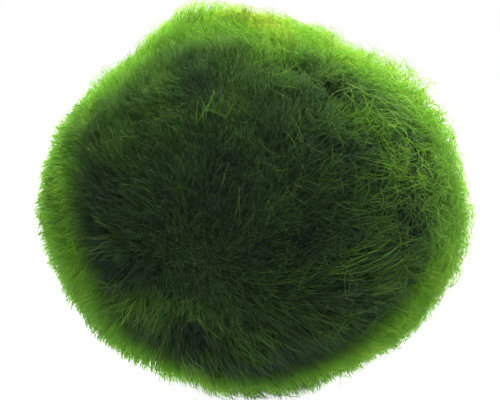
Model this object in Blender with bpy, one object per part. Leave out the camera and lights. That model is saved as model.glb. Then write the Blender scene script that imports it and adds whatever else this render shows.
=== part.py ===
"""Marimo moss ball: one mass of filamentous green alga, grown as a single lumpy ball of short tufts.

Metres, +Z up. The ball rests on a small spot pressed flat under its own weight, and the origin is
on that surface, under the middle of the ball. +X is the right of the ball seen from the front,
and -Y is its front.
"""

import math

import bmesh
import bpy
from mathutils import Vector, kdtree, noise

# Driving dimensions: the ball out to the tips of its filaments, before its lumps and tufts
HALF_WIDTH = 0.0271
HALF_DEPTH = 0.0264
HALF_HEIGHT = 0.0249
PRESSED_DEPTH = 0.0021  # how far the underside is pressed up by the surface it rests on

# Tufts: clumps of filaments, parted by creases
TUFT_COUNT = 250
TUFT_JOSTLE = 0.45  # how far a tuft stands off its even place, as a share of the spacing
TUFT_HEIGHT = 0.0011
TUFT_SINK = 0.6  # how deep the creases lie inside the egg shape, as a share of the height
TUFT_UNEVENNESS = 0.4  # how much the heights of the tufts differ, as a share of the height
TUFT_LEAN = 0.0006  # how far the tip of a tuft is combed sideways
COMBING_SCALE = 1.3  # turns of the combing over the ball, in waves per radius
FULL_COMBING = 0.5  # strength of the combing from which on the tufts lean all the way

# Swells: the ball's gentle unevenness between its lumps
SWELL_HEIGHT = 0.0004
SWELL_SCALE = 3.2  # waves per radius
SWELL_OCTAVES = 3  # each one is twice as fine and half as high as the one before

# Each lump or dent: azimuth from +X and elevation in degrees, rise in metres, spread in degrees
LUMPS = (
    (180, 71, 0.0017, 14),  # crown, left of the top
    (0, 58, -0.0012, 19),  # sloping right shoulder
    (2, 30, 0.0008, 14),  # right side, under the shoulder
    (180, 46, -0.0022, 12),  # notch under the crown
    (184, 29, -0.0005, 14),  # sloping left shoulder
    (0, -14, 0.0013, 15),  # right cheek
    (184, -38, -0.0012, 19),  # left side, low down
    (182, -70, -0.0013, 16),  # left underside
    (-4, -48, -0.0012, 18),  # right underside
    (-38, 12, 0.0010, 17),  # tangled swelling on the right of the front
    (-62, 48, -0.0007, 14),  # hollow over that swelling
    (-128, -22, -0.0008, 13),  # crease at the lower left of the front
    (-98, -40, 0.0006, 16),  # front, over the foot
    (-115, 20, 0.0004, 20),  # front dome
    (58, 22, 0.0011, 18),  # back right
    (122, -12, 0.0009, 17),  # back left
    (96, 55, -0.0010, 16),  # hollow high on the back
    (88, -34, -0.0006, 14),  # crease low on the back
    (150, 18, -0.0006, 12),  # dent behind the left side
)

NOISE_SEED = 10  # fixes the offsets that vector noise uses, so that each run gives the same ball
CUTS_ACROSS = 27  # extra rows of points across each side of the cube that the ball starts as
MOSS_GREEN = (0.045, 0.105, 0.014, 1.0)
MOSS_ROUGHNESS = 0.85


def clear_scene():
    for obj in list(bpy.data.objects):
        bpy.data.objects.remove(obj)


def toward(azimuth, elevation):
    """The direction at this azimuth and elevation, in degrees."""
    turn, rise = math.radians(azimuth), math.radians(elevation)
    return Vector((math.cos(turn) * math.cos(rise), math.sin(turn) * math.cos(rise), math.sin(rise)))


def rounded(corner):
    """A point of a cube of half-size 1 moved onto the unit sphere, keeping the points evenly spread."""
    return Vector([math.tan(side * math.pi / 4) for side in corner]).normalized()


def egg_radius(direction):
    """Distance from the middle to the plain egg shape that the lumps stand on."""
    x, y, z = direction
    return 1 / math.sqrt((x / HALF_WIDTH) ** 2 + (y / HALF_DEPTH) ** 2 + (z / HALF_HEIGHT) ** 2)


def lump_height(direction):
    rise = SWELL_HEIGHT * noise.fractal(direction * SWELL_SCALE, 1.0, 2.0, SWELL_OCTAVES)
    for azimuth, elevation, height, spread in LUMPS:
        angle = math.degrees(direction.angle(toward(azimuth, elevation)))
        rise += height * math.exp(-((angle / spread) ** 2))
    return rise


def combing(direction):
    """Which way the tufts lean along the surface here, as a vector no longer than 1."""
    drift = noise.noise_vector(direction * COMBING_SCALE)
    along = drift - direction * drift.dot(direction)
    return along / max(FULL_COMBING, along.length)


def tuft_spacing():
    """Angle between neighbouring tufts, in radians."""
    return math.sqrt(4 * math.pi / TUFT_COUNT)


def tuft_middles():
    """A search tree of the tufts' directions, evenly spread down a spiral and then jostled."""
    middles = kdtree.KDTree(TUFT_COUNT)
    golden_angle = math.pi * (3 - math.sqrt(5))
    for tuft in range(TUFT_COUNT):
        rise = 1 - (2 * tuft + 1) / TUFT_COUNT
        reach = math.sqrt(1 - rise * rise)
        even = Vector((reach * math.cos(tuft * golden_angle), reach * math.sin(tuft * golden_angle), rise))
        jostle = noise.noise_vector(even * TUFT_COUNT) * TUFT_JOSTLE * tuft_spacing()
        middles.insert((even + jostle).normalized(), tuft)
    middles.balance()
    return middles


def tuft_share(direction, middles):
    """How high the tuft stands here: 0 in the crease round it, and about 1 at its tip."""
    nearest, second = middles.find_n(direction, 2)
    from_crease = min(1, (second[2] - nearest[2]) / tuft_spacing())
    own_height = 1 + TUFT_UNEVENNESS * noise.noise(nearest[0] * TUFT_COUNT)
    return own_height * math.sin(from_crease * math.pi / 2)


def surface_point(direction, middles):
    share = tuft_share(direction, middles)
    reach = egg_radius(direction) + lump_height(direction) + TUFT_HEIGHT * (share - TUFT_SINK)
    return direction * reach + combing(direction) * TUFT_LEAN * share


def press_flat(mesh):
    """Presses the underside flat, and puts the ball on z = 0 with the middle of its box over the origin."""
    sides = [(min(v.co[axis] for v in mesh.verts), max(v.co[axis] for v in mesh.verts)) for axis in range(3)]
    ground = sides[2][0] + PRESSED_DEPTH
    middle = Vector((sum(sides[0]) / 2, sum(sides[1]) / 2, ground))
    for point in mesh.verts:
        point.co.z = max(point.co.z, ground)
        point.co -= middle


def moss_material():
    material = bpy.data.materials.new("moss")
    material.use_nodes = True
    shader = material.node_tree.nodes["Principled BSDF"]
    shader.inputs["Base Color"].default_value = MOSS_GREEN
    shader.inputs["Roughness"].default_value = MOSS_ROUGHNESS
    shader.inputs["Metallic"].default_value = 0.0
    return material


def make_moss_ball(collection):
    """The whole ball, from a finely cut cube rounded into its lumps and tufts."""
    mesh = bmesh.new()
    bmesh.ops.create_cube(mesh, size=2)
    bmesh.ops.subdivide_edges(mesh, edges=mesh.edges, cuts=CUTS_ACROSS, use_grid_fill=True)
    middles = tuft_middles()
    for point in mesh.verts:
        point.co = surface_point(rounded(point.co), middles)
    press_flat(mesh)
    data = bpy.data.meshes.new("moss_ball")
    mesh.to_mesh(data)
    mesh.free()
    data.shade_smooth()
    data.materials.append(moss_material())
    ball = bpy.data.objects.new("moss_ball", data)
    collection.objects.link(ball)


def main():
    clear_scene()
    noise.seed_set(NOISE_SEED)
    collection = bpy.data.collections.new("marimo_moss_ball")
    bpy.context.scene.collection.children.link(collection)
    make_moss_ball(collection)


main()
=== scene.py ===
import math

import bpy
import numpy as np
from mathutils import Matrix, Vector, kdtree
from mathutils.bvhtree import BVHTree


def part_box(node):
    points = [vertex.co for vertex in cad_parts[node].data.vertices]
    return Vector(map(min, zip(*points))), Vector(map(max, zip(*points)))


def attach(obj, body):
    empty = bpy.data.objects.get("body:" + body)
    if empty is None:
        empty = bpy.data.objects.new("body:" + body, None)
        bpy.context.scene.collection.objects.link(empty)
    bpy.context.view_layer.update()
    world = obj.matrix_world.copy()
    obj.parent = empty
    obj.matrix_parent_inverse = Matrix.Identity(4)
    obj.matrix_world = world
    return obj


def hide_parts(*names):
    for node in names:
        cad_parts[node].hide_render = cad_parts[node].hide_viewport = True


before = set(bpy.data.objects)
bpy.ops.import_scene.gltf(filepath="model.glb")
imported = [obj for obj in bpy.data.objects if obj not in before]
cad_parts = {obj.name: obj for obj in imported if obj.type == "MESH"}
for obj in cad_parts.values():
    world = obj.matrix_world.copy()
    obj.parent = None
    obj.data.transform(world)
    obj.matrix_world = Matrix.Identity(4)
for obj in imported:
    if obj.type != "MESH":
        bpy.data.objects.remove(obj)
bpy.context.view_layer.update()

# the moss ball: a dark felted mat with short fur, combed strands and curly tangles growing on it
# places on it are (azimuth, elevation) in degrees: azimuth -90 is the front, 0 the right side
# a direction from its middle is called a way, and the lengths are in metres

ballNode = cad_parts["moss_ball"]
ballLow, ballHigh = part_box("moss_ball")
ballMiddle = np.array((ballLow + ballHigh) / 2)
ballRadius = 0.0265
lowestStrand = 0.0001  # no strand reaches lower than this over the floor

camera = dict(focal=135, distance=0.2397, elevation=5.0, aim=(-0.0004, 0, -0.0001), clip=(0.01, 20))


def deselectAll():
    for obj in bpy.context.selected_objects:
        obj.select_set(False)


def selectOnly(obj):
    deselectAll()
    bpy.context.view_layer.objects.active = obj
    obj.select_set(True)


def toward(azimuth, elevation):
    turn, rise = np.radians(azimuth), np.radians(elevation)
    return np.stack([np.cos(turn) * np.cos(rise), np.sin(turn) * np.cos(rise), np.sin(rise)], -1)


def unit(vectors):
    return vectors / np.maximum(np.linalg.norm(vectors, axis=-1, keepdims=True), 1e-12)


def dotted(a, b):
    return np.sum(a * b, axis=-1, keepdims=True)


def highest(*shares):
    return np.maximum.reduce(shares)


# how far the surface stands from the middle, looked up by direction

reachMap = dict(
    columns=360,
    rows=181,
    softening=20,  # rounds of evening out the solid's tufts and creases
    evenness=0.45,  # how much the fur follows the evened surface instead of the solid's own
    proud=0.0004,  # how far the fur stands off the solid
)
mapElevations = np.linspace(-90, 90, reachMap["rows"])
mapAzimuths = np.arange(reachMap["columns"]) * 360 / reachMap["columns"] - 180
mapWays = toward(*np.meshgrid(mapAzimuths, mapElevations))


def mapOfReach(obj):
    corners = [point.co for point in obj.data.vertices]
    tree = BVHTree.FromPolygons(corners, [face.vertices for face in obj.data.polygons])
    start = Vector(ballMiddle)
    return np.array([[tree.ray_cast(start, Vector(way))[3] for way in row] for row in mapWays])


def softened(reach, rounds):
    for _ in range(rounds):
        around = (np.roll(reach, 2, 1) + np.roll(reach, -2, 1)) / 2
        above = np.vstack([reach[:1], reach[:-1]])
        below = np.vstack([reach[1:], reach[-1:]])
        reach = (reach * 2 + around + (above + below) / 2) / 4
    return reach


def reachAt(reach, ways):
    row = (np.degrees(np.arcsin(np.clip(ways[..., 2], -1, 1))) + 90) * (reachMap["rows"] - 1) / 180
    column = (np.degrees(np.arctan2(ways[..., 1], ways[..., 0])) + 180) * reachMap["columns"] / 360
    row0 = np.clip(row.astype(int), 0, reachMap["rows"] - 2)
    column0 = column.astype(int) % reachMap["columns"]
    column1 = (column0 + 1) % reachMap["columns"]
    rowShare, columnShare = row - row0, column - np.floor(column)
    low = reach[row0, column0] * (1 - columnShare) + reach[row0, column1] * columnShare
    high = reach[row0 + 1, column0] * (1 - columnShare) + reach[row0 + 1, column1] * columnShare
    return low * (1 - rowShare) + high * rowShare


def bumpAt(ways, azimuth, elevation, spread):
    # 1 at this place, falling smoothly to 0 beyond the spread in degrees
    return np.exp((ways @ toward(azimuth, elevation) - 1) / (1 - math.cos(math.radians(spread))))


# where the fur stands longer or shorter than the solid: (azimuth, elevation, metres, spread)
furTrims = (
    (180, 80, 0.0012, 9),  # crown
    (0, 70, 0.0009, 8),
    (180, 40, 0.0018, 10),  # left side, from the notch down
    (177, 30, 0.0004, 9),
    (180, 18, 0.0006, 13),
    (0, 40, 0.0009, 12),  # right side, from the shoulder down
    (0, 35, 0.0004, 8),
    (0, 22, 0.0006, 9),
    (0, 2, 0.0006, 14),
    (-3, -29, -0.0006, 9),
    (-160, -66, -0.0019, 13),  # round the foot
    (160, -66, -0.0016, 13),
    (-20, -66, -0.0014, 13),
    (20, -66, -0.0012, 13),
    (-125, -62, -0.0009, 11),
    (-75, -63, -0.0005, 14),
)

cadReach = mapOfReach(ballNode)
evenReach = softened(cadReach, reachMap["softening"])
furReach = cadReach * (1 - reachMap["evenness"]) + evenReach * reachMap["evenness"] + reachMap["proud"]
for azimuth, elevation, rise, spread in furTrims:
    furReach = furReach + rise * bumpAt(mapWays, azimuth, elevation, spread)
print("surface mapped")


# smooth random patterns over the ball, the same each run: (seed, waves per radius)


def wavyField(seed, scale, waves=24, spread=0.4):
    rng = np.random.default_rng(seed)
    ways = unit(rng.normal(size=(waves, 3))) * scale * rng.uniform(1 - spread, 1 + spread, (waves, 1))
    starts = rng.uniform(0, 2 * math.pi, waves)
    return lambda places: np.sin(places @ ways.T + starts).sum(-1) * math.sqrt(2 / waves)


lengthField = wavyField(11, 9)
patchField = wavyField(12, 17)
driftFields = [wavyField(21, 2.6), wavyField(22, 2.6), wavyField(23, 2.6)]
ruffleField = wavyField(24, 13)
tintField = wavyField(31, 5)
raggedField = wavyField(32, 100)


# the way the fur is combed: (azimuth, elevation, heading, strength, spread)
# heading 0 is the way that azimuth grows, which is to the right on the front, and 90 is up

combing = dict(
    strokes=(
        (-90, 42, 84, 1.2, 26),  # upper front, nearly upright
        (-90, 5, 76, 1.2, 26),
        (-55, 40, 60, 0.6, 22),
        (-135, 40, 110, 0.8, 22),
        (-128, 16, 122, 1.3, 18),
        (-165, 20, 150, 0.8, 22),  # left side
        (-150, 4, 165, 1.0, 16),
        (-162, -8, 212, 1.2, 18),
        (-168, -30, 236, 1.2, 18),
        (-135, -22, 208, 1.4, 18),  # fans out over the lower left
        (-118, -38, 240, 1.5, 18),
        (-92, -42, 305, 1.5, 20),  # foot of the front
        (-92, -64, 300, 1.4, 20),
        (-62, -26, 32, 1.7, 22),  # lower right, rising to the right
        (-48, -50, 325, 1.3, 18),
        (-15, -28, 345, 1.3, 20),
        (-10, 8, 10, 0.9, 20),  # right side
        (-5, 45, 40, 0.9, 22),
        (90, 70, 120, 0.8, 30),  # over the top and down the back
        (80, 25, 250, 1.0, 28),
        (120, -15, 215, 1.4, 26),
        (60, -25, 290, 1.4, 26),
        (100, -50, 265, 1.4, 26),
    ),
    drift=0.35,  # how much the fur wanders where no stroke is strong
    ruffle=0.25,  # how far it waves from side to side, in radians
)


def tangentFrame(ways):
    right = unit(np.cross([0, 0, 1.0], ways))
    return right, np.cross(ways, right)


def combedWay(ways):
    right, up = tangentFrame(ways)
    drift = np.stack([field(ways) for field in driftFields], -1)
    flow = combing["drift"] * (drift - ways * dotted(drift, ways))
    for azimuth, elevation, heading, strength, spread in combing["strokes"]:
        weight = strength * bumpAt(ways, azimuth, elevation, spread)
        angle = math.radians(heading)
        flow += weight[:, None] * (math.cos(angle) * right + math.sin(angle) * up)
    ruffle = combing["ruffle"] * ruffleField(ways)[:, None]
    return unit(flow * np.cos(ruffle) + np.cross(ways, flow) * np.sin(ruffle))


# what differs from place to place: each region is spots of (azimuth, elevation, spread, share)


def nearness(ways, spots):
    # how much each way belongs to a region: the share of its strongest spot there
    most = np.zeros(len(ways))
    for azimuth, elevation, spread, share in spots:
        most = np.maximum(most, share * bumpAt(ways, azimuth, elevation, spread))
    return most


def shares(ways, *kinds):
    return [nearness(ways, regions[kind]) for kind in kinds]


def spotsAlong(line, spread, share, between=3):
    # a row of spots from each point of a line to the next
    row = []
    for (azimuth, elevation), (nextAzimuth, nextElevation) in zip(line[:-1], line[1:]):
        for step in range(between):
            part = step / between
            row.append((azimuth + (nextAzimuth - azimuth) * part,
                        elevation + (nextElevation - elevation) * part, spread, share))
    return tuple(row)


# lines on the front: the creases just inside its pale edge, that edge, and two paler ridges; the pale edge
# and the ridges are painted light, and the creases are sunk and take painted shade
creases = dict(
    left=((-138, -2), (-136, -8), (-134, -15), (-134, -26), (-133, -34), (-127, -40)),
    bottom=((-119, -43), (-101, -47), (-91, -49), (-81, -49), (-62, -42), (-47, -29),
            (-39, -19), (-29, -11)),
)
edges = dict(
    left=((-151, 6), (-148, -6), (-146, -16), (-144, -27)),
    lowerLeft=((-144, -27), (-141, -38), (-134, -46)),
    bottom=((-125, -51), (-105, -59), (-85, -60), (-68, -53), (-54, -45), (-42, -34),
            (-33, -24), (-25, -14)),
)
ridges = dict(
    right=((-59, 31), (-52, 27), (-46, 22), (-42, 17), (-44, 11)),
    low=((-134, -25), (-125, -24), (-116, -24), (-109, -26), (-102, -30), (-96, -35), (-88, -39)),
)

regions = dict(
    tangled=(  # loose and curly
        (-38, 10, 21, 1.0),
        (-22, 28, 20, 0.9),
        (-20, -8, 18, 0.8),
        (-5, 45, 22, 0.8),
        (35, 20, 22, 0.6),
        (120, 30, 20, 0.5),
    ),
    matted=(  # short, dense and thin
        (-110, 62, 26, 1.0),
        (-125, 30, 28, 0.9),
        (-90, 30, 28, 1.0),
        (-95, 2, 30, 0.9),
        (-150, 12, 20, 0.7),
        (100, 50, 30, 0.7),
    ),
    felted=(  # combed no way at all
        (-114, -14, 15, 1.0),
        (-100, -28, 9, 0.7),
    ),
    combed=(  # long strands lying down
        (-135, -20, 18, 1.0),
        (-118, -42, 18, 0.9),
        (-92, -45, 20, 0.9),
        (-62, -26, 22, 1.0),
        (-40, -40, 18, 0.8),
        (-160, -5, 16, 0.7),
        (60, -25, 26, 0.8),
        (125, -15, 26, 0.8),
        (100, -45, 26, 0.8),
    ),
    lacy=(  # sparse and ragged
        (-4, 38, 20, 1.0),
        (-10, 56, 16, 1.0),
        (-60, 80, 14, 0.6),
        (180, 76, 12, 0.5),
        (40, 48, 20, 0.5),
    ),
    hollow=(  # pits and creases, sunk into the fur and tinted darker as painted shade
        (-57, 39, 4.5, 1.0),
        (-42, 33, 4, 1.0),
        (-33, 21, 6, 1.1),
        (-31, 1, 4.5, 0.9),
        (-44, -6, 5.5, 1.0),
        (-48, 0, 4, 0.9),
        (-108, -33, 6.5, 1.0),
        (-77, -6, 3, 0.7),
        (-70, 48, 4.5, 0.6),
        *spotsAlong(creases["left"], 3.4, 0.25, between=7),
        *spotsAlong(creases["bottom"], 3.2, 0.5, between=7),
    ),
    ridge=(  # tints only, from here on; the ridges are painted highlight where they stand up into the light
        *spotsAlong(ridges["right"], 4.5, 1.3),
        *spotsAlong(ridges["low"], 4, 1.6),
    ),
    # painted light, mostly over the top and the upper right, where the light from above and behind falls
    pale=(
        (-6, 42, 22, 0.6),
        (-30, 58, 16, 0.6),
        (-90, 84, 20, 0.8),
        (-72, 66, 16, 0.9),
        (-115, 66, 16, 0.5),
        (-152, 6, 9, 0.3),
        (-80, 58, 11, 1.3),
        (-136, 40, 14, 0.4),
        (180, 74, 14, 0.6),
        (40, 30, 22, 0.4),
    ),
    # painted light: the glowing band along the left and lower outline
    edge=(
        *spotsAlong(edges["left"], 5.5, 1.0),
        *spotsAlong(edges["lowerLeft"], 5.5, 0.7),
        *spotsAlong(edges["bottom"], 5, 1.2),
    ),
    # painted shade: along the creases, under the front, round the back and in other recesses
    dark=(
        (-60, -36, 16, 0.1),
        (-126, -12, 10, 0.6),
        (-107, -36, 6, 0.4),
        (-60, 14, 9, 0.4),
        (-42, -3, 7, 0.5),
        (-85, -46, 8, 0.3),
        (-22, 2, 10, 0.3),
        (90, 0, 60, 0.3),
        (-90, -78, 14, 5.0),  # painted shade under the front
        (-162, -37, 14, 0.6),
        (-141, 4, 9, 0.8),
        (-22, 4, 20, 0.6),
        *spotsAlong(creases["left"], 4.5, 0.9),
        *spotsAlong(creases["bottom"], 4, 0.5),
    ),
)


# strands: rows of points grown from the mat, then turned into thin closed tubes

growth = dict(
    choices=3,  # places to choose each root from
    jostle=1.2,  # how irregularly roots stand, with 0 for an even spiral
    lastRing=0.82,  # share of a strand that its rings cover, before it tapers to its point
    lengthSwell=0.16,  # how much the length differs from patch to patch
    lengthSpread=(0.8, 1.2),
    mattedLoose=0.42,  # how loosely matted fur is combed, with 1 for tangled and felted fur
    mattedCurl=0.6,  # how much less it curls
    mattedLean=(50, 72),  # degrees from upright at its roots and tips
    combedLean=80,  # the same at the tips of combed strands
    rootScatter=10,
    mostLean=115,
    leanRise=0.8,  # below 1, strands lean over early
    curlSpread=(0.4, 1.3),
    bob=0.45,  # curl up and down, as a share of the curl from side to side
    bobPace=0.8,
    clumpRise=1.4,  # above 1, clumps close near their tips only
    slide=(-0.0022, 0.0018),  # how far a strand may move in or out to bring its tip into place
    middleMargin=0.7,  # how far its middle stays inside the surface, as a share of its tip's margin
    taperRise=1.6,  # above 1, strands keep their thickness for longer
    thicknessSpread=(0.8, 1.2),
)


def pickRoots(rng, count, densityAt):
    spread = count * growth["choices"]
    rise = 1 - (2 * np.arange(spread) + 1) / spread
    turn = np.arange(spread) * math.pi * (3 - math.sqrt(5))  # an even spiral from pole to pole
    flat = np.sqrt(1 - rise * rise)
    even = np.stack([flat * np.cos(turn), flat * np.sin(turn), rise], -1)
    even = unit(even + rng.normal(size=even.shape) * growth["jostle"] / math.sqrt(spread))
    order = np.argsort(rng.exponential(size=spread) / np.maximum(densityAt(even), 1e-6))
    return even[np.sort(order[:count])]


def ringPlaces(steps):
    # where a strand's rings stand along it, and its point
    return np.append(np.linspace(0, growth["lastRing"], steps), 1.0)


def growStrands(rng, ways, plan):
    count, steps = len(ways), plan["steps"]
    places = ringPlaces(steps)
    tangled, matted, felted = shares(ways, "tangled", "matted", "felted")
    combed, lacy, hollow = shares(ways, "combed", "lacy", "hollow")
    length = plan["length"] * (1 + growth["lengthSwell"] * lengthField(ways))
    length *= rng.uniform(*growth["lengthSpread"], count)
    length *= (1 - plan["hollowing"] * hollow) * (1 - plan["mattedShort"] * matted)
    length *= 1 - plan["lacyShort"] * lacy
    loose = highest(tangled, growth["mattedLoose"] * matted, felted)
    scatter = plan["scatter"] + (plan["looseScatter"] - plan["scatter"]) * loose
    turned = rng.normal(size=count) * np.radians(scatter)
    comb = combedWay(ways)
    heading = comb * np.cos(turned)[:, None] + np.cross(ways, comb) * np.sin(turned)[:, None]
    curl = plan["curl"] * (1 + plan["tangleCurl"] * tangled) * (1 - growth["mattedCurl"] * matted)
    curl = np.radians(curl) * rng.uniform(*growth["curlSpread"], count)
    phase, phaseUp = rng.uniform(0, 2 * math.pi, (2, count))
    turns = rng.uniform(*plan["turns"], count) * 2 * math.pi
    leanStart = plan["lean"][0] + rng.normal(size=count) * growth["rootScatter"]
    leanEnd = plan["lean"][1] + rng.normal(size=count) * plan["leanScatter"]
    leanEnd += (growth["combedLean"] - leanEnd) * plan["combLean"] * combed
    leanStart += (growth["mattedLean"][0] - leanStart) * plan["mattedLean"] * matted
    leanEnd += (growth["mattedLean"][1] - leanEnd) * plan["mattedLean"] * matted
    points = np.zeros((steps + 1, count, 3))
    points[0] = ballMiddle + ways * (reachAt(furReach, ways) - plan["rootDepth"])[:, None]
    for step in range(steps):
        share = (places[step] + places[step + 1]) / 2
        outward = unit(points[step] - ballMiddle)
        flat = unit(heading - outward * dotted(heading, outward))
        side = np.cross(outward, flat)
        swing = (curl * np.sin(phase + turns * share))[:, None]
        bob = growth["bob"] * np.degrees(curl) * np.sin(phaseUp + turns * growth["bobPace"] * share)
        lean = leanStart + (leanEnd - leanStart) * share ** growth["leanRise"] + bob
        lean = np.radians(np.clip(lean, 0, growth["mostLean"]))[:, None]
        along = flat * np.cos(swing) + side * np.sin(swing)
        move = outward * np.cos(lean) + along * np.sin(lean)
        points[step + 1] = points[step] + move * (length * (places[step + 1] - places[step]))[:, None]
    return points


def nearestGuides(ways, guideWays):
    tree = kdtree.KDTree(len(guideWays))
    for place, way in enumerate(guideWays):
        tree.insert(Vector(way), place)
    tree.balance()
    return np.array([tree.find(Vector(way))[1] for way in ways])


def clumpStrands(points, guides, nearest, strength):
    places = ringPlaces(len(points) - 1)
    for step in range(1, len(points)):
        pull = (strength * places[step] ** growth["clumpRise"])[:, None]
        points[step] += (guides[step][nearest] - points[step]) * pull
    return points


def reachTips(points, margin):
    # each strand slides out or in until its tip stands its own margin inside the fur's surface
    spoke = points[-1] - ballMiddle
    far = np.linalg.norm(spoke, axis=-1)
    slide = np.clip(reachAt(furReach, unit(spoke)) - margin - far, *growth["slide"])
    for step in range(len(points)):
        points[step] += unit(points[step] - ballMiddle) * slide[:, None]
        outward = unit(points[step] - ballMiddle)
        far = np.linalg.norm(points[step] - ballMiddle, axis=-1)
        over = np.maximum(far - reachAt(furReach, outward) + margin * growth["middleMargin"], 0)
        points[step] -= outward * over[:, None]
        points[step][:, 2] = np.maximum(points[step][:, 2], lowestStrand)
    return points


def tubePlan(places):
    # the faces of one three-sided strand, and where their corners lie on its own patch of the UV map
    faces, corners = [], []
    lastRing = len(places) - 2
    for step in range(lastRing):
        low, high = places[step], places[step + 1]
        for side in range(3):
            near, far = step * 3 + side, step * 3 + (side + 1) % 3
            left, right = side / 3, (side + 1) / 3
            faces.append([near, far, far + 3, near + 3])
            corners += [(left, low), (right, low), (right, high), (left, high)]
    low, top = places[lastRing], lastRing * 3
    for side in range(3):
        faces.append([top + side, top + (side + 1) % 3, top + 3])
        corners += [(side / 3, low), ((side + 1) / 3, low), ((side + 0.5) / 3, 1)]
    faces.append([2, 1, 0])
    corners += [(0.9, 0), (0.5, 0.02), (0.1, 0)]
    return faces, np.array(corners)


def tubeMesh(name, points, thickness, taper, tints):
    steps, count = len(points) - 1, points.shape[1]
    places = ringPlaces(steps)
    ahead = np.zeros_like(points)
    ahead[1:-1] = points[2:] - points[:-2]
    ahead[0], ahead[-1] = points[1] - points[0], points[-1] - points[-2]
    ahead = unit(ahead)
    side = unit(np.cross(ahead[0], ahead[0][:, [1, 2, 0]] + 0.31))  # any direction across the strand
    rings = np.zeros((count, steps * 3 + 1, 3))
    for step in range(steps):
        side = unit(side - ahead[step] * dotted(side, ahead[step]))
        other = np.cross(ahead[step], side)
        width = (thickness * (1 - taper * places[step] ** growth["taperRise"]))[:, None]
        for corner in range(3):
            angle = corner * 2 * math.pi / 3
            across = side * math.cos(angle) + other * math.sin(angle)
            rings[:, step * 3 + corner] = points[step] + width * across
    rings[:, -1] = points[-1]
    faces, corners = tubePlan(places)
    loops = (np.arange(count)[:, None] * rings.shape[1] + np.concatenate(faces)[None]).ravel()
    sizes = np.tile([len(face) for face in faces], count)
    starts = np.concatenate([[0], np.cumsum(sizes)[:-1]])
    mesh = bpy.data.meshes.new(name)
    mesh.vertices.add(rings.shape[0] * rings.shape[1])
    mesh.vertices.foreach_set("co", rings.astype(np.float32).ravel())
    mesh.loops.add(len(loops))
    mesh.loops.foreach_set("vertex_index", loops.astype(np.int32))
    mesh.polygons.add(len(sizes))
    mesh.polygons.foreach_set("loop_start", starts.astype(np.int32))
    mesh.polygons.foreach_set("use_smooth", np.ones(len(sizes), bool))
    # a strand lies in the column of its tint, from its root at the bottom to its tip at the top
    corners = columnInset + (1 - 2 * np.array(columnInset)) * corners
    uv = np.zeros((count, len(corners), 2), np.float32)
    uv[:, :, 0] = (tints[:, None] + corners[None, :, 0]) / tintColumns
    uv[:, :, 1] = corners[None, :, 1]
    layer = mesh.uv_layers.new(name="OFBake")
    layer.data.foreach_set("uv", uv.ravel())
    mesh.update(calc_edges=True)
    mesh.validate()
    return mesh


def addFur(plan, strands, material):
    # strands are shared out among the plan's pieces by height, from the bottom up
    points, thickness, tints, ways = strands
    order = np.argsort(ways[:, 2])
    for name, chosen in zip(plan["pieces"], np.array_split(order, len(plan["pieces"]))):
        mesh = tubeMesh(name, points[:, chosen], thickness[chosen], plan["taper"], tints[chosen])
        mesh.materials.append(material)
        piece = bpy.data.objects.new(name, mesh)
        bpy.context.scene.collection.objects.link(piece)
        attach(piece, "root")


# the strands' material: the UV map has a column for each tint, from the darkest to the palest; tintsFor
# picks each strand's column, mostly from painted light and shade

tintColumns = 96
columnInset = (0.05, 0.02)  # keeps each strand's patch inside its column
strandColors = {
    "Dark": (0.046, 0.072, 0.062, 1),
    "Pale": (0.365, 0.80, 0.10, 1),
    "Sunny": (0.62, 0.80, 0.12, 1),
    "Through Dark": (0.265, 0.38, 0.30, 1),  # the light that comes through
    "Through Pale": (0.67, 1.0, 0.215, 1),
    "Through Sunny": (0.94, 0.97, 0.22, 1),
    "Olive": (0.36, 0.48, 0.12, 1),
    "Brown": (0.30, 0.19, 0.09, 1),
}
strandFinish = dict(
    palest=0.8,  # share of the columns where pale is reached, and turns sunny beyond
    olive=0.28,  # most olive that a column takes
    brown=0.6,  # most brown, in the few dark columns that take any
    brownFrom=0.94,
    brownUpTo=0.5,
    variation=0.28,  # how much darker a column may be than its tint
    root=0.5,  # how bright roots are, as a share of the tips: painted shade deep in the fur
    rootFrom=0.1,
    rootUpTo=0.8,
    roughness=0.55,
    gloss=0.4,
    glow=0.72,  # share of the light that comes through
)


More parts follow.
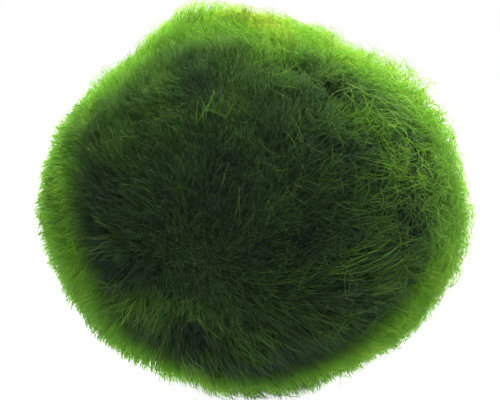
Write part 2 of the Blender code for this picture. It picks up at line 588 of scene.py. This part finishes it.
def strandTintGroup():
    group = bpy.data.node_groups.new("strandTint", "ShaderNodeTree")
    group.interface.new_socket("UV", in_out="INPUT", socket_type="NodeSocketVector")
    for label in strandColors:
        group.interface.new_socket(label, in_out="INPUT", socket_type="NodeSocketColor")
    for label in ("Root", "Variation"):
        group.interface.new_socket(label, in_out="INPUT", socket_type="NodeSocketFloat")
    for label in ("Color", "Through"):
        group.interface.new_socket(label, in_out="OUTPUT", socket_type="NodeSocketColor")
    nodes, links = group.nodes, group.links
    given, out = nodes.new("NodeGroupInput").outputs, nodes.new("NodeGroupOutput").inputs

    def fill(socket, value):
        if isinstance(value, (int, float)):
            socket.default_value = value
        else:
            links.new(value, socket)

    def counted(operation, first, second=0):
        node = nodes.new("ShaderNodeMath")
        node.operation = operation
        fill(node.inputs[0], first)
        fill(node.inputs[1], second)
        return node.outputs[0]

    def mapped(source, low, high, bottom, top):
        node = nodes.new("ShaderNodeMapRange")
        labels = ("Value", "From Min", "From Max", "To Min", "To Max")
        for label, value in zip(labels, (source, low, high, bottom, top)):
            fill(node.inputs[label], value)
        return node.outputs["Result"]

    def mixed(share, first, second, blend="MIX"):
        node = nodes.new("ShaderNodeMix")
        node.data_type = "RGBA"
        node.blend_type = blend
        for label, value in (("Factor", share), ("A", first), ("B", second)):
            fill(node.inputs[label], value)
        return node.outputs["Result"]

    place = nodes.new("ShaderNodeSeparateXYZ")
    links.new(given["UV"], place.inputs[0])
    column = counted("FLOOR", counted("MULTIPLY", place.outputs["X"], tintColumns))
    chance = nodes.new("ShaderNodeTexWhiteNoise")  # three chances for each column
    chance.noise_dimensions = "1D"
    links.new(column, chance.inputs["W"])
    chances = nodes.new("ShaderNodeSeparateColor")
    links.new(chance.outputs["Color"], chances.inputs[0])
    chances = chances.outputs
    finish = strandFinish
    toPale = mapped(column, 0, tintColumns * finish["palest"], 0, 1)
    toSunny = mapped(mapped(column, 0, tintColumns - 1, 0, 1), finish["palest"], 1, 0, 1)
    tint = mixed(toSunny, mixed(toPale, given["Dark"], given["Pale"]), given["Sunny"])
    tint = mixed(mapped(chances["Green"], 0.5, 1, 0, finish["olive"]), tint, given["Olive"])
    mostBrown = mapped(column, 0, tintColumns * finish["brownUpTo"], finish["brown"], 0)
    tint = mixed(mapped(chances["Red"], finish["brownFrom"], 1, 0, mostBrown), tint, given["Brown"])
    darkest = counted("SUBTRACT", 1, given["Variation"])
    tint = mixed(1, tint, mapped(chances["Blue"], 0, 1, 1, darkest), "MULTIPLY")
    height = mapped(place.outputs["Y"], finish["rootFrom"], finish["rootUpTo"], given["Root"], 1)
    links.new(mixed(1, tint, height, "MULTIPLY"), out["Color"])
    through = mixed(toPale, given["Through Dark"], given["Through Pale"])
    links.new(mixed(toSunny, through, given["Through Sunny"]), out["Through"])
    return group


def strandMaterial(name, group):
    material = bpy.data.materials.new(name)
    material.use_nodes = True
    nodes, links = material.node_tree.nodes, material.node_tree.links
    shader = nodes["Principled BSDF"]
    uv = nodes.new("ShaderNodeUVMap")
    uv.uv_map = "OFBake"
    tint = nodes.new("ShaderNodeGroup")
    tint.node_tree = group
    for label, color in strandColors.items():
        tint.inputs[label].default_value = color
    tint.inputs["Root"].default_value = strandFinish["root"]
    tint.inputs["Variation"].default_value = strandFinish["variation"]
    links.new(uv.outputs["UV"], tint.inputs["UV"])
    links.new(tint.outputs["Color"], shader.inputs["Base Color"])
    shader.inputs["Roughness"].default_value = strandFinish["roughness"]
    shader.inputs["Specular IOR Level"].default_value = strandFinish["gloss"]
    through = nodes.new("ShaderNodeBsdfTranslucent")
    links.new(tint.outputs["Through"], through.inputs["Color"])
    both = nodes.new("ShaderNodeMixShader")
    both.inputs["Fac"].default_value = strandFinish["glow"]
    links.new(shader.outputs["BSDF"], both.inputs[1])
    links.new(through.outputs["BSDF"], both.inputs[2])
    links.new(both.outputs["Shader"], nodes["Material Output"].inputs["Surface"])
    return material


# the felted mat inside the fur, coloured dark as painted shade for the deep gaps between the strands

mat = dict(
    depth=0.0027,  # how far it lies under the solid's surface
    softening=60,
    bottom=0.0012,
    lumps=0.0005,
    lumpSize=0.0022,
    dark=(0.020, 0.045, 0.011, 1),
    pale=(0.060, 0.125, 0.032, 1),
    darkUpTo=0.35,
    paleFrom=0.7,
    grain=900,  # specks per metre
    roughness=0.9,
    gloss=0.2,
)


def matMaterial():
    material = bpy.data.materials.new("felted mat")
    material.use_nodes = True
    nodes, links = material.node_tree.nodes, material.node_tree.links
    shader = nodes["Principled BSDF"]
    place = nodes.new("ShaderNodeTexCoord")
    grain = nodes.new("ShaderNodeTexNoise")
    grain.inputs["Scale"].default_value = mat["grain"]
    grain.inputs["Detail"].default_value = 4
    links.new(place.outputs["Object"], grain.inputs["Vector"])
    ramp = nodes.new("ShaderNodeValToRGB")
    low, high = ramp.color_ramp.elements
    low.color, low.position = mat["dark"], mat["darkUpTo"]
    high.color, high.position = mat["pale"], mat["paleFrom"]
    links.new(grain.outputs["Fac"], ramp.inputs["Fac"])
    links.new(ramp.outputs["Color"], shader.inputs["Base Color"])
    shader.inputs["Roughness"].default_value = mat["roughness"]
    shader.inputs["Specular IOR Level"].default_value = mat["gloss"]
    return material


def makeMat():
    deselectAll()
    bpy.ops.mesh.primitive_ico_sphere_add(subdivisions=5, radius=ballRadius, location=ballMiddle)
    ball = bpy.context.object
    ball.name = ball.data.name = "felted_mat"
    points = np.zeros(len(ball.data.vertices) * 3)
    ball.data.vertices.foreach_get("co", points)
    ways = unit(points.reshape(-1, 3))
    inner = softened(cadReach, mat["softening"])
    reach = np.minimum(reachAt(inner, ways), reachAt(cadReach, ways)) - mat["depth"]
    places = ballMiddle + ways * reach[:, None]
    places[:, 2] = np.maximum(places[:, 2], mat["bottom"])
    ball.data.vertices.foreach_set("co", places.ravel())
    ball.location = (0, 0, 0)
    selectOnly(ball)
    texture = bpy.data.textures.new("felt lumps", "CLOUDS")
    texture.noise_scale = mat["lumpSize"]
    texture.noise_depth = 2
    lumps = ball.modifiers.new("lumps", "DISPLACE")
    lumps.texture = texture
    lumps.texture_coords = "LOCAL"
    lumps.strength = mat["lumps"]
    lumps.mid_level = 1.0
    bpy.ops.object.modifier_apply(modifier=lumps.name)
    bpy.ops.object.shade_smooth()
    ball.data.materials.append(matMaterial())
    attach(ball, "root")
    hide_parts("moss_ball")
    print("mat", len(ball.data.polygons), "faces")


makeMat()


# fur, with lean, curl and scatter in degrees, and margin for how far tips end inside the surface

# paler and tangledPaler are painted light and shade: they darken the deep underfur, and the short fur among
# tangles, and lighten the long and curly strands lying on top
underfur = dict(
    pieces=("underfur_lower", "underfur_upper"),
    seed=101, count=66000, steps=1, length=0.0026, thickness=0.000052, taper=0.5, rootDepth=0.0031,
    lean=(10, 40), leanScatter=14, combLean=0.2, mattedLean=0.6,
    curl=14, tangleCurl=1.0, turns=(0.2, 0.6), scatter=40, looseScatter=90, clump=0.30,
    hollowing=0.35, mattedShort=0.15, lacyShort=0.2,
    margin=(0.0003, 0.0014), spikes=0.0002, ragged=0.0004, hollowDepth=0.0018, tangledSink=0.0011,
    paler=-0.05, tangledPaler=-0.1,
)
pile = dict(
    pieces=("fur_lower", "fur_middle", "fur_upper"),
    seed=102, count=44000, steps=2, length=0.0031, thickness=0.000052, taper=0.6, rootDepth=0.0026,
    lean=(10, 46), leanScatter=16, combLean=0.45, mattedLean=0.8,
    curl=20, tangleCurl=1.2, turns=(0.3, 0.8), scatter=24, looseScatter=80, clump=0.38,
    hollowing=0.4, mattedShort=0.2, lacyShort=0.2,
    margin=(0.0, 0.0006), spikes=0.00028, ragged=0.0006, hollowDepth=0.0021, tangledSink=0.0011,
    paler=0, tangledPaler=-0.08,
)
longFur = dict(
    pieces=("combed_strands",),
    seed=103, count=4500, steps=4, length=0.0056, thickness=0.000048, taper=0.7, rootDepth=0.0020,
    lean=(35, 80), leanScatter=8, combLean=0, mattedLean=0,
    curl=14, tangleCurl=0.6, turns=(0.3, 0.8), scatter=12, looseScatter=40, clump=0.35,
    hollowing=0.5, mattedShort=0.3, lacyShort=0.7,
    margin=(0.0, 0.0006), spikes=0.0003, ragged=0.0003, hollowDepth=0.0010, tangledSink=0.0,
    paler=0.08, tangledPaler=0.1,
)
tangle = dict(
    pieces=("curly_tangle",),
    seed=104, count=6400, steps=5, length=0.0054, thickness=0.000039, taper=0.6, rootDepth=0.0016,
    lean=(50, 86), leanScatter=12, combLean=0, mattedLean=0,
    curl=36, tangleCurl=0.2, turns=(0.3, 1.1), scatter=90, looseScatter=110, clump=0.1,
    hollowing=0.2, mattedShort=0.3, lacyShort=0.7,
    margin=(0.0, 0.0007), spikes=0.0003, ragged=0.0003, hollowDepth=0.0003, tangledSink=0.0,
    paler=0.2, tangledPaler=0.28,
)

# the tufts that strands clump into, each round a guide strand of its own height
tufts = dict(
    seed=100,
    count=14000,
    guideLength=1.08,  # as a share of the strands' length
    pull=(0.5, 1.2),
    mostPull=0.8,
    looser=0.85,  # how much less tangled strands clump
    mattedLooser=0.8,
    marginBias=(1.0, 1.8),  # most strands end near the shallow side of their margin
    mattedSpikes=-0.6,  # how much more each kind of fur shows its tufts' heights
    lacySpikes=1.4,
    combedSpikes=0.8,
    mattedThinner=0.28,
    shown=0.6,  # how far up a strand its tint and its depth are looked up
)

# how pale the strands are, from 0 to 1: palest round the outline seen from the front, which is painted
# light, the glow of the light from behind coming through the rim strands
paleness = dict(
    plain=0.25,
    paintedRimGlow=0.41, rimEdge=0.49, rimWidth=0.035,  # the painted rim glow begins where the fur faces the front this little
    rimWaver=0.03, rimRagged=0.6,
    paintedOuterGlow=0.14, outerEdge=0.22, outerWidth=0.05,  # the painted glow is palest from here
    back=-0.45, backWidth=0.12,  # and ends where the fur faces this far away, so the back is not painted pale
    pale=0.30, edge=0.31, ridge=0.12, dark=-0.25, hollow=-0.27,  # what each region adds: painted light in the pale, edge and ridge regions, painted shade in the dark and hollow ones
    # drift, patches and scatter vary the tone at random; tufts makes taller tufts a little paler, painted
    # light on their tops
    drift=0.03, patches=0.045, tufts=0.03, scatter=0.06,
    most=0.64,  # strands are no paler than this, except in the pale regions, and partly in these
    mostEdge=0.5, mostFront=0.45, mostOuter=0.55,
)


def stepDown(value, edge, width):
    return 1 / (1 + np.exp(np.clip((value - edge) / width, -30, 30)))


def tintsFor(rng, ways, tuftHeight, extra):
    # painted light: strands are paler where they face across the front view, as the light from behind glows
    # through the outline there
    facing = ways @ toward(-90, camera["elevation"])
    facing += paleness["rimWaver"] * (patchField(ways) + paleness["rimRagged"] * raggedField(ways))
    paintedRimGlow = stepDown(facing, paleness["rimEdge"], paleness["rimWidth"])
    paintedRimGlow *= stepDown(-facing, -paleness["back"], paleness["backWidth"])
    paintedOuterGlow = stepDown(facing, paleness["outerEdge"], paleness["outerWidth"]) * paintedRimGlow
    kinds = ("pale", "edge", "ridge", "dark", "hollow")
    near = dict(zip(kinds, shares(ways, *kinds)))
    amount = paleness["plain"] + paleness["paintedRimGlow"] * paintedRimGlow + paleness["paintedOuterGlow"] * paintedOuterGlow + extra
    amount += sum(paleness[kind] * near[kind] for kind in kinds)
    amount += paleness["drift"] * tintField(ways) + paleness["patches"] * patchField(ways)
    amount += paleness["tufts"] * tuftHeight
    free = highest(near["pale"], paleness["mostEdge"] * near["edge"],
                   paleness["mostFront"] * (1 - paintedRimGlow), paleness["mostOuter"] * paintedOuterGlow)
    amount = np.minimum(amount, paleness["most"] + (1 - paleness["most"]) * free)
    amount += paleness["scatter"] * rng.normal(size=len(ways))
    return np.floor(amount * tintColumns).clip(0, tintColumns - 1)


def furStrands(plan, densityAt):
    rng = np.random.default_rng(plan["seed"])
    guideRng = np.random.default_rng(tufts["seed"])
    guideWays = pickRoots(guideRng, tufts["count"], lambda ways: np.ones(len(ways)))
    guideHeight = guideRng.normal(size=tufts["count"])
    guides = growStrands(guideRng, guideWays, dict(plan, length=plan["length"] * tufts["guideLength"]))
    ways = pickRoots(rng, plan["count"], densityAt)
    tangled, matted, combed, lacy = shares(ways, "tangled", "matted", "combed", "lacy")
    points = growStrands(rng, ways, plan)
    nearest = nearestGuides(ways, guideWays)
    height = guideHeight[nearest]
    loose = highest(tangled, tufts["mattedLooser"] * matted)
    strength = plan["clump"] * (1 - tufts["looser"] * loose + lacy) * rng.uniform(*tufts["pull"], len(ways))
    points = clumpStrands(points, guides, nearest, np.minimum(strength, tufts["mostPull"]))
    shown = points[0] + (points[-1] - points[0]) * tufts["shown"]
    shown = unit(shown - ballMiddle)
    shallow, deep = plan["margin"]
    margin = shallow + (deep - shallow) * rng.beta(*tufts["marginBias"], len(ways))
    uneven = 1 + tufts["mattedSpikes"] * matted + tufts["lacySpikes"] * lacy
    uneven += tufts["combedSpikes"] * combed
    margin -= plan["spikes"] * height * uneven
    hollowShown, tangledShown = shares(shown, "hollow", "tangled")
    margin += plan["hollowDepth"] * hollowShown + plan["tangledSink"] * tangledShown
    margin += plan["ragged"] * raggedField(ways) * lacy
    points = reachTips(points, margin)
    tints = tintsFor(rng, shown, height, plan["paler"] + plan["tangledPaler"] * tangled)
    thickness = plan["thickness"] * rng.uniform(*growth["thicknessSpread"], len(ways))
    return points, thickness * (1 - tufts["mattedThinner"] * matted), tints, ways


# how densely each kind of fur grows from place to place
density = dict(
    lacyGaps=0.35, lacyGapWave=0.5, mostGaps=0.9,
    mattedMore=0.6,
    combedStray=0.06,  # long strands outside the combed regions
    mattedLess=0.4,
    tangleStray=0.003,
    lacyLess=0.7,
    lacyLeast=0.35,
    hollowLess=0.85,
)


def shortFurDensity(ways):
    matted, lacy = shares(ways, "matted", "lacy")
    gaps = density["lacyGaps"] + density["lacyGapWave"] * raggedField(ways)
    return 1 - np.clip(gaps, 0, density["mostGaps"]) * lacy + density["mattedMore"] * matted


def combedDensity(ways):
    combed, matted, hollow = shares(ways, "combed", "matted", "hollow")
    share = np.maximum(combed - density["mattedLess"] * matted, 0)
    return density["combedStray"] + share * (1 - density["hollowLess"] * hollow)


def tangleDensity(ways):
    tangled, lacy, hollow = shares(ways, "tangled", "lacy", "hollow")
    share = highest(tangled * (1 - density["lacyLess"] * lacy), density["lacyLeast"] * lacy)
    return density["tangleStray"] + share * (1 - density["hollowLess"] * hollow)


# single strands and small fans lying on the fur:
# (azimuth, elevation, heading, length, bend, count, spread), with the spread and bend in degrees
fans = dict(
    pieces=("fans",),
    # paler is painted highlight on these strands lying on top of the fur
    seed=105, steps=5, thickness=0.000046, taper=0.5, rootDepth=0.0008, lift=0.0003, paler=0.32,
    shown=(
        (-131, -20, 190, 0.0043, 10, 7, 22),  # lower left of the front
        (-134, -24, 205, 0.0046, 10, 8, 20),
        (-131, -28, 222, 0.0040, 5, 7, 20),
        (-126, -24, 215, 0.0036, 5, 6, 24),
        (-146, -5, -50, 0.0046, 30, 1, 0),
        (-147, -3, -70, 0.0036, 20, 1, 0),
        (-131, -8, 198, 0.0032, -10, 6, 14),
        (-145, -14, -21, 0.0020, 0, 2, 10),
        (-105, -20, -80, 0.0064, 34, 1, 0),
        (-104, -26, -40, 0.0036, 8, 2, 12),
        (-115, -39, -28, 0.0030, 8, 4, 16),
        (-113, -42, -10, 0.0024, -8, 3, 16),
        (-126, -25, -96, 0.0024, 6, 3, 24),
        (-120, -46, 250, 0.0046, -6, 5, 16),
        (-115, -45, 255, 0.0042, -6, 5, 14),
        (-153, 24, 48, 0.0064, -90, 1, 0),  # arc on the left shoulder
        (-35, 23, 232, 0.0040, 8, 2, 6),  # right half of the front
        (-37, 19, 4, 0.0048, -6, 2, 8),
        (-70, -14, 20, 0.0050, 14, 7, 14),
        (-66, -11, 18, 0.0056, 12, 7, 12),
        (-60, -14, 30, 0.0056, 8, 8, 14),
        (-57, -20, 24, 0.0050, 10, 7, 14),
        (-50, -7, 14, 0.0026, 20, 6, 26),
        (-66, 31, 26, 0.0080, -110, 1, 0),
        (-45, 35, -70, 0.0055, -60, 2, 8),
        (-52, 26, 70, 0.0060, -50, 3, 20),
        (-98, 25, 60, 0.0030, 30, 2, 40),
    ),
    startSpread=0.022,  # how far apart a fan's strands start, in radians
    lengthSpread=(0.6, 1.15),
    scattered=90,  # more fans, anywhere on the ball
    scatteredLength=(0.0025, 0.0050),
    scatteredTurn=30,
    scatteredBend=25,
    scatteredSpread=16,
    scatteredMost=5,
)


def scatteredFans(rng):
    chosen = []
    for way in unit(rng.normal(size=(fans["scattered"], 3))):
        azimuth, elevation = math.degrees(math.atan2(way[1], way[0])), math.degrees(math.asin(way[2]))
        right, up = tangentFrame(way)
        comb = combedWay(way[None])[0]
        heading = math.degrees(math.atan2(comb @ up, comb @ right)) + rng.normal() * fans["scatteredTurn"]
        length = rng.uniform(*fans["scatteredLength"])
        bend = rng.normal() * fans["scatteredBend"]
        count = int(rng.integers(1, fans["scatteredMost"] + 1))
        chosen.append((azimuth, elevation, heading, length, bend, count, fans["scatteredSpread"]))
    return chosen


def fanStrands():
    rng = np.random.default_rng(fans["seed"])
    chosen = list(fans["shown"]) + scatteredFans(rng)
    rows = np.array([fan[:5] + (fan[6],) for fan in chosen for _ in range(fan[5])])
    azimuth, elevation, heading, length, bend, spread = rows.T
    several = spread > 0
    apart = rng.normal(size=(len(rows), 3)) * fans["startSpread"] * several[:, None]
    starts = unit(toward(azimuth, elevation) + apart)
    angle = np.radians(heading + rng.normal(size=len(rows)) * spread)
    length = length * np.where(several, rng.uniform(*fans["lengthSpread"], len(rows)), 1)
    places = ringPlaces(fans["steps"])
    points = np.zeros((fans["steps"] + 1, len(rows), 3))
    way = starts
    for step, share in enumerate(places):
        if step:
            right, up = tangentFrame(way)
            turned = angle + np.radians(bend) * (share - 0.5)
            along = np.cos(turned)[:, None] * right + np.sin(turned)[:, None] * up
            way = unit(way + along * (length * (share - places[step - 1]) / ballRadius)[:, None])
        height = fans["lift"] * share - fans["rootDepth"] * (1 - share) ** 2
        points[step] = ballMiddle + way * (reachAt(furReach, way) + height)[:, None]
        points[step][:, 2] = np.maximum(points[step][:, 2], lowestStrand)
    thickness = fans["thickness"] * rng.uniform(*growth["thicknessSpread"], len(rows))
    return points, thickness, tintsFor(rng, starts, np.zeros(len(rows)), fans["paler"]), starts


filaments = strandMaterial("moss filaments", strandTintGroup())
addFur(underfur, furStrands(underfur, shortFurDensity), filaments)
print("underfur grown")
addFur(pile, furStrands(pile, shortFurDensity), filaments)
print("fur grown")
addFur(longFur, furStrands(longFur, combedDensity), filaments)
addFur(tangle, furStrands(tangle, tangleDensity), filaments)
addFur(fans, fanStrands(), filaments)
print("long strands grown")


# floor, light and camera

stage = dict(
    size=3.0,
    drop=0.0001,  # how far the floor lies under the resting spot
    color=(0.3, 0.3, 0.3, 1),
    roughness=0.9,
    glow=0.9,  # keeps the floor as pale as the backdrop
    bounce=0.75,  # share of the light from below that reaches the ball
)


def makeFloor():
    deselectAll()
    bpy.ops.mesh.primitive_plane_add(size=stage["size"], location=(0, 0, -stage["drop"]))
    floor = bpy.context.object
    floor.name = "floor"
    material = bpy.data.materials.new("pale floor")
    material.use_nodes = True
    nodes, links = material.node_tree.nodes, material.node_tree.links
    shader = nodes["Principled BSDF"]
    shader.inputs["Base Color"].default_value = stage["color"]
    shader.inputs["Roughness"].default_value = stage["roughness"]
    glow = nodes.new("ShaderNodeEmission")
    glow.inputs["Strength"].default_value = stage["glow"]
    seen = nodes.new("ShaderNodeAddShader")
    links.new(shader.outputs["BSDF"], seen.inputs[0])
    links.new(glow.outputs["Emission"], seen.inputs[1])
    clear = nodes.new("ShaderNodeBsdfTransparent")  # lets the light from below through to the ball
    clear.inputs["Color"].default_value = (stage["bounce"],) * 3 + (1,)
    rays = nodes.new("ShaderNodeLightPath")
    either = nodes.new("ShaderNodeMixShader")
    links.new(rays.outputs["Is Camera Ray"], either.inputs["Fac"])
    links.new(clear.outputs["BSDF"], either.inputs[1])
    links.new(seen.outputs["Shader"], either.inputs[2])
    links.new(either.outputs["Shader"], nodes["Material Output"].inputs["Surface"])
    floor.data.materials.append(material)


# soft lights in the sky, each strongest toward its own side: a high focus makes it small, and
# wraps is 1 where it reaches all round the sky and 0 where it fills half of it
sky = dict(
    fill=(0.17, 0.15, 0.21, 1),
    lights=(
        dict(side=(0.0, 0.985, -0.06), strength=15.0, focus=12.0, wraps=1, color=(1, 1, 1, 1)),
        dict(side=(0.22, 0.60, 0.77), strength=16.0, focus=16.0, wraps=0, color=(1, 1, 1, 1)),
        dict(side=(0.0, -0.98, 0.20), strength=1.75, focus=2.0, wraps=0, color=(0.72, 0.64, 1.0, 1)),
        dict(side=(0.05, 0.20, -0.98), strength=1.2, focus=2.0, wraps=0, color=(0.84, 0.80, 1.0, 1)),
    ),
    backdrop=(1, 1, 1, 1),
)


def softLight(nodes, links, light):
    place = nodes.new("ShaderNodeTexCoord")
    facing = nodes.new("ShaderNodeVectorMath")
    facing.operation = "DOT_PRODUCT"
    facing.inputs[1].default_value = unit(np.array(light["side"]))
    links.new(place.outputs["Generated"], facing.inputs[0])
    share = nodes.new("ShaderNodeMapRange")
    share.inputs["From Min"].default_value = -light["wraps"]
    links.new(facing.outputs["Value"], share.inputs["Value"])
    strength = share.outputs["Result"]
    for operation, value in (("POWER", light["focus"]), ("MULTIPLY", light["strength"])):
        node = nodes.new("ShaderNodeMath")
        node.operation = operation
        node.inputs[1].default_value = value
        links.new(strength, node.inputs[0])
        strength = node.outputs[0]
    shine = nodes.new("ShaderNodeBackground")
    shine.inputs["Color"].default_value = light["color"]
    links.new(strength, shine.inputs["Strength"])
    return shine.outputs["Background"]


def makeSky():
    world = bpy.data.worlds.new("studio light")
    bpy.context.scene.world = world
    world.use_nodes = True
    nodes, links = world.node_tree.nodes, world.node_tree.links
    fill = nodes.new("ShaderNodeBackground")
    fill.inputs["Color"].default_value = sky["fill"]
    lights = fill.outputs["Background"]
    for light in sky["lights"]:
        added = nodes.new("ShaderNodeAddShader")
        links.new(lights, added.inputs[0])
        links.new(softLight(nodes, links, light), added.inputs[1])
        lights = added.outputs["Shader"]
    backdrop = nodes["Background"]
    backdrop.inputs["Color"].default_value = sky["backdrop"]
    rays = nodes.new("ShaderNodeLightPath")
    either = nodes.new("ShaderNodeMixShader")
    links.new(rays.outputs["Is Camera Ray"], either.inputs["Fac"])
    links.new(lights, either.inputs[1])
    links.new(backdrop.outputs["Background"], either.inputs[2])
    links.new(either.outputs["Shader"], nodes["World Output"].inputs["Surface"])


def makeCamera():
    lens = bpy.data.cameras.new("camera")
    lens.lens = camera["focal"]
    lens.clip_start, lens.clip_end = camera["clip"]
    eye = bpy.data.objects.new("camera", lens)
    bpy.context.scene.collection.objects.link(eye)
    rise = math.radians(camera["elevation"])
    back = Vector((0, -math.cos(rise), math.sin(rise)))
    eye.location = Vector(ballMiddle) + Vector(camera["aim"]) + back * camera["distance"]
    eye.rotation_euler = (-back).to_track_quat("-Z", "Y").to_euler()
    bpy.context.scene.camera = eye


makeFloor()
makeSky()
makeCamera()
scene = bpy.context.scene
scene.view_settings.view_transform = "Standard"
scene.cycles.diffuse_bounces = 8  # light goes through many strands
scene.cycles.transmission_bounces = 8
scene.cycles.max_bounces = 12
print("floor, light and camera set")
